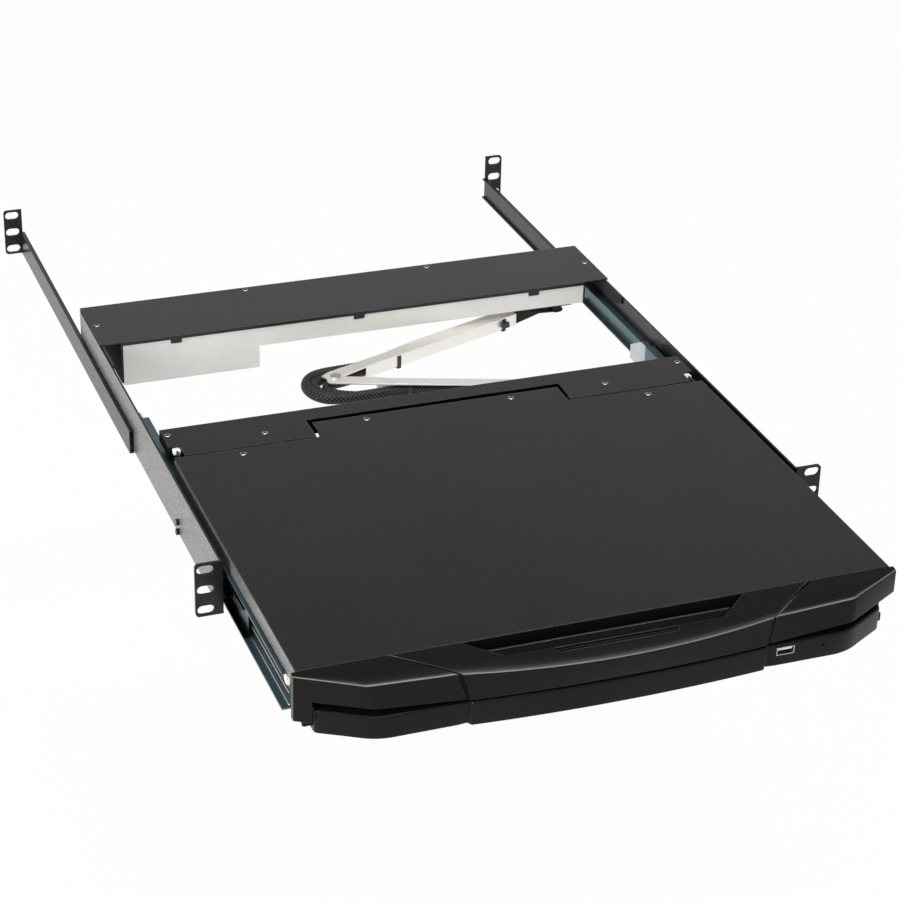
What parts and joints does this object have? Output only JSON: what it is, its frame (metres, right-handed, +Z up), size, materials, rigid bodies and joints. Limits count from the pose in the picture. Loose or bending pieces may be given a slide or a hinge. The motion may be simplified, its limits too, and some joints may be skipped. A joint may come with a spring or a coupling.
{
  "type": "rackmount lcd console drawer",
  "caption": "One-unit rack console: sliding drawer with keyboard and touchpad under a flip-up LCD lid, telescoping rack brackets and a folding cable arm.",
  "frame": {"origin": "centre of the front ears' hole pattern, on the ears' front face", "axes": "+X to the operator's right, +Y towards the rack's rear, +Z up; the drawer slides out along -Y"},
  "size_m": [0.4798, 0.8496, 0.0437],
  "materials": {
    "bracket_black": "satin powder coat",
    "slide_zinc": "zinc plated",
    "slide_dark": "dark phosphate",
    "cage_plastic": "natural nylon",
    "box_white": "light grey zinc-coated sheet",
    "cover_black": "black powder coat",
    "board_green": "circuit board",
    "screw_steel": "nickel plated",
    "inlet_plastic": "moulded",
    "port_metal": "tin plated",
    "anchor_steel": "zinc plated",
    "tray_steel": "black powder coat",
    "deck_plastic": "fine texture",
    "key_plastic": "fine texture",
    "touchpad_plastic": "smooth",
    "bezel_plastic": "fine texture",
    "bumper_cream": "natural nylon",
    "lcd_module": "display module",
    "lid_frame_plastic": "fine texture",
    "arm_steel": "zinc plated, satin",
    "arm_black": "black",
    "tie_plastic": "nylon",
    "tie_natural": "natural nylon",
    "cable_braid": "braided sleeve"
  },
  "bodies": {
    "frame": {"front_bracket_left": "bracket_black", "front_bracket_right": "bracket_black", "slide_rack_member_left": "slide_dark", "slide_rack_member_right": "slide_dark", "box_base": "box_white", "box_cover": "cover_black", "box_board": "board_green", "box_screws": "screw_steel", "power_inlet": "inlet_plastic", "console_port": "port_metal", "arm_anchor": "arm_black", "cable_box_run": "cable_braid"},
    "rear_left": {"rear_bracket_left": "bracket_black"},
    "rear_right": {"rear_bracket_right": "bracket_black"},
    "drawer": {"tray_pan": "tray_steel", "rear_cover": "cover_black", "cover_screws": "screw_steel", "tray_board": "board_green", "tray_anchor": "anchor_steel", "keyboard_deck": "deck_plastic", "key_plate": "deck_plastic", "keycaps": "key_plastic", "touchpad": "touchpad_plastic", "lower_bezel": "bezel_plastic", "usb_port": "port_metal", "slide_bumpers": "bumper_cream", "hinge_brackets": "anchor_steel", "slide_drawer_member_left": "slide_zinc", "slide_drawer_member_right": "slide_zinc"},
    "middle_left": {"slide_middle_member_left": "slide_zinc", "ball_cages_left": "cage_plastic"},
    "middle_right": {"slide_middle_member_right": "slide_zinc", "ball_cages_right": "cage_plastic"},
    "lid": {"lid_shell": "cover_black", "upper_bezel": "bezel_plastic", "lcd_panel": "lcd_module", "lcd_frame": "lid_frame_plastic", "hinge_leaves": "anchor_steel", "hinge_pins": "screw_steel", "lid_screws": "screw_steel"},
    "latch": {"latch_lever": "bezel_plastic"},
    "touch_left": {"touch_button_left": "touchpad_plastic"},
    "touch_right": {"touch_button_right": "touchpad_plastic"},
    "space_key": {"key_space": "key_plastic"},
    "enter_key": {"key_enter": "key_plastic"},
    "osd_1": {"osd_button_1": "lid_frame_plastic"},
    "osd_2": {"osd_button_2": "lid_frame_plastic"},
    "osd_3": {"osd_button_3": "lid_frame_plastic"},
    "osd_4": {"osd_button_4": "lid_frame_plastic"},
    "arm_rear": {"arm_rear_link": "arm_steel", "arm_end_bracket": "arm_black", "arm_rear_ties": "tie_plastic", "elbow_rivet": "screw_steel", "cable_rear_run": "cable_braid", "cable_elbow_loop": "cable_braid"},
    "arm_front": {"arm_front_link": "arm_steel", "arm_front_ties": "tie_natural", "tray_pin": "screw_steel", "cable_front_run": "cable_braid"}
  },
  "joints": [
    {"name": "drawer_slide", "type": "slide", "parent": "frame", "child": "drawer", "axis": [0, -1, 0], "range_m": [-0.15, 0.2]},
    {"name": "middle_left_slide", "type": "slide", "parent": "frame", "child": "middle_left", "axis": [0, -1, 0], "range_m": [-0.075, 0.1]},
    {"name": "middle_right_slide", "type": "slide", "parent": "frame", "child": "middle_right", "axis": [0, -1, 0], "range_m": [-0.075, 0.1]},
    {"name": "rear_left_slide", "type": "slide", "parent": "frame", "child": "rear_left", "axis": [0, 1, 0], "range_m": [-0.05, 0.06]},
    {"name": "rear_right_slide", "type": "slide", "parent": "frame", "child": "rear_right", "axis": [0, 1, 0], "range_m": [-0.05, 0.06]},
    {"name": "lid_hinge", "type": "hinge", "parent": "drawer", "child": "lid", "pos_m": [0, 0.166, 0.016], "axis": [-1, 0, 0], "range_deg": [0, 110]},
    {"name": "latch_slide", "type": "slide", "parent": "lid", "child": "latch", "axis": [0, -1, 0], "range_m": [0, 0.002], "stiffness_N_per_m": 600},
    {"name": "arm_rear_hinge", "type": "hinge", "parent": "frame", "child": "arm_rear", "pos_m": [0.177, 0.365, -0.0035], "axis": [0, 0, 1], "range_deg": [-18.8, 25], "deforming": ["cable_box_run"]},
    {"name": "arm_elbow_hinge", "type": "hinge", "parent": "arm_rear", "child": "arm_front", "pos_m": [-0.04508, 0.29, -0.0016], "axis": [0, 0, 1], "range_deg": [-50, 37.5], "deforming": ["cable_elbow_loop"]},
    {"name": "touch_left_press", "type": "slide", "parent": "drawer", "child": "touch_left", "axis": [0, 0, -1], "range_m": [0, 0.0008], "stiffness_N_per_m": 600},
    {"name": "touch_right_press", "type": "slide", "parent": "drawer", "child": "touch_right", "axis": [0, 0, -1], "range_m": [0, 0.0008], "stiffness_N_per_m": 600},
    {"name": "space_press", "type": "slide", "parent": "drawer", "child": "space_key", "axis": [0, 0, -1], "range_m": [0, 0.0025], "stiffness_N_per_m": 250},
    {"name": "enter_press", "type": "slide", "parent": "drawer", "child": "enter_key", "axis": [0, 0, -1], "range_m": [0, 0.0025], "stiffness_N_per_m": 250},
    {"name": "osd_1_press", "type": "slide", "parent": "lid", "child": "osd_1", "axis": [0, 0, 1], "range_m": [0, 0.0006], "stiffness_N_per_m": 600},
    {"name": "osd_2_press", "type": "slide", "parent": "lid", "child": "osd_2", "axis": [0, 0, 1], "range_m": [0, 0.0006], "stiffness_N_per_m": 600},
    {"name": "osd_3_press", "type": "slide", "parent": "lid", "child": "osd_3", "axis": [0, 0, 1], "range_m": [0, 0.0006], "stiffness_N_per_m": 600},
    {"name": "osd_4_press", "type": "slide", "parent": "lid", "child": "osd_4", "axis": [0, 0, 1], "range_m": [0, 0.0006], "stiffness_N_per_m": 600}
  ],
  "couplings": [
    {"joint": "middle_left_slide", "follows": "drawer_slide", "ratio": 0.5},
    {"joint": "middle_right_slide", "follows": "drawer_slide", "ratio": 0.5},
    {"joint": "arm_rear_hinge", "follows": "drawer_slide", "rad_per_m": 2.1713},
    {"joint": "arm_elbow_hinge", "follows": "drawer_slide", "rad_per_m": -4.3426}
  ]
}
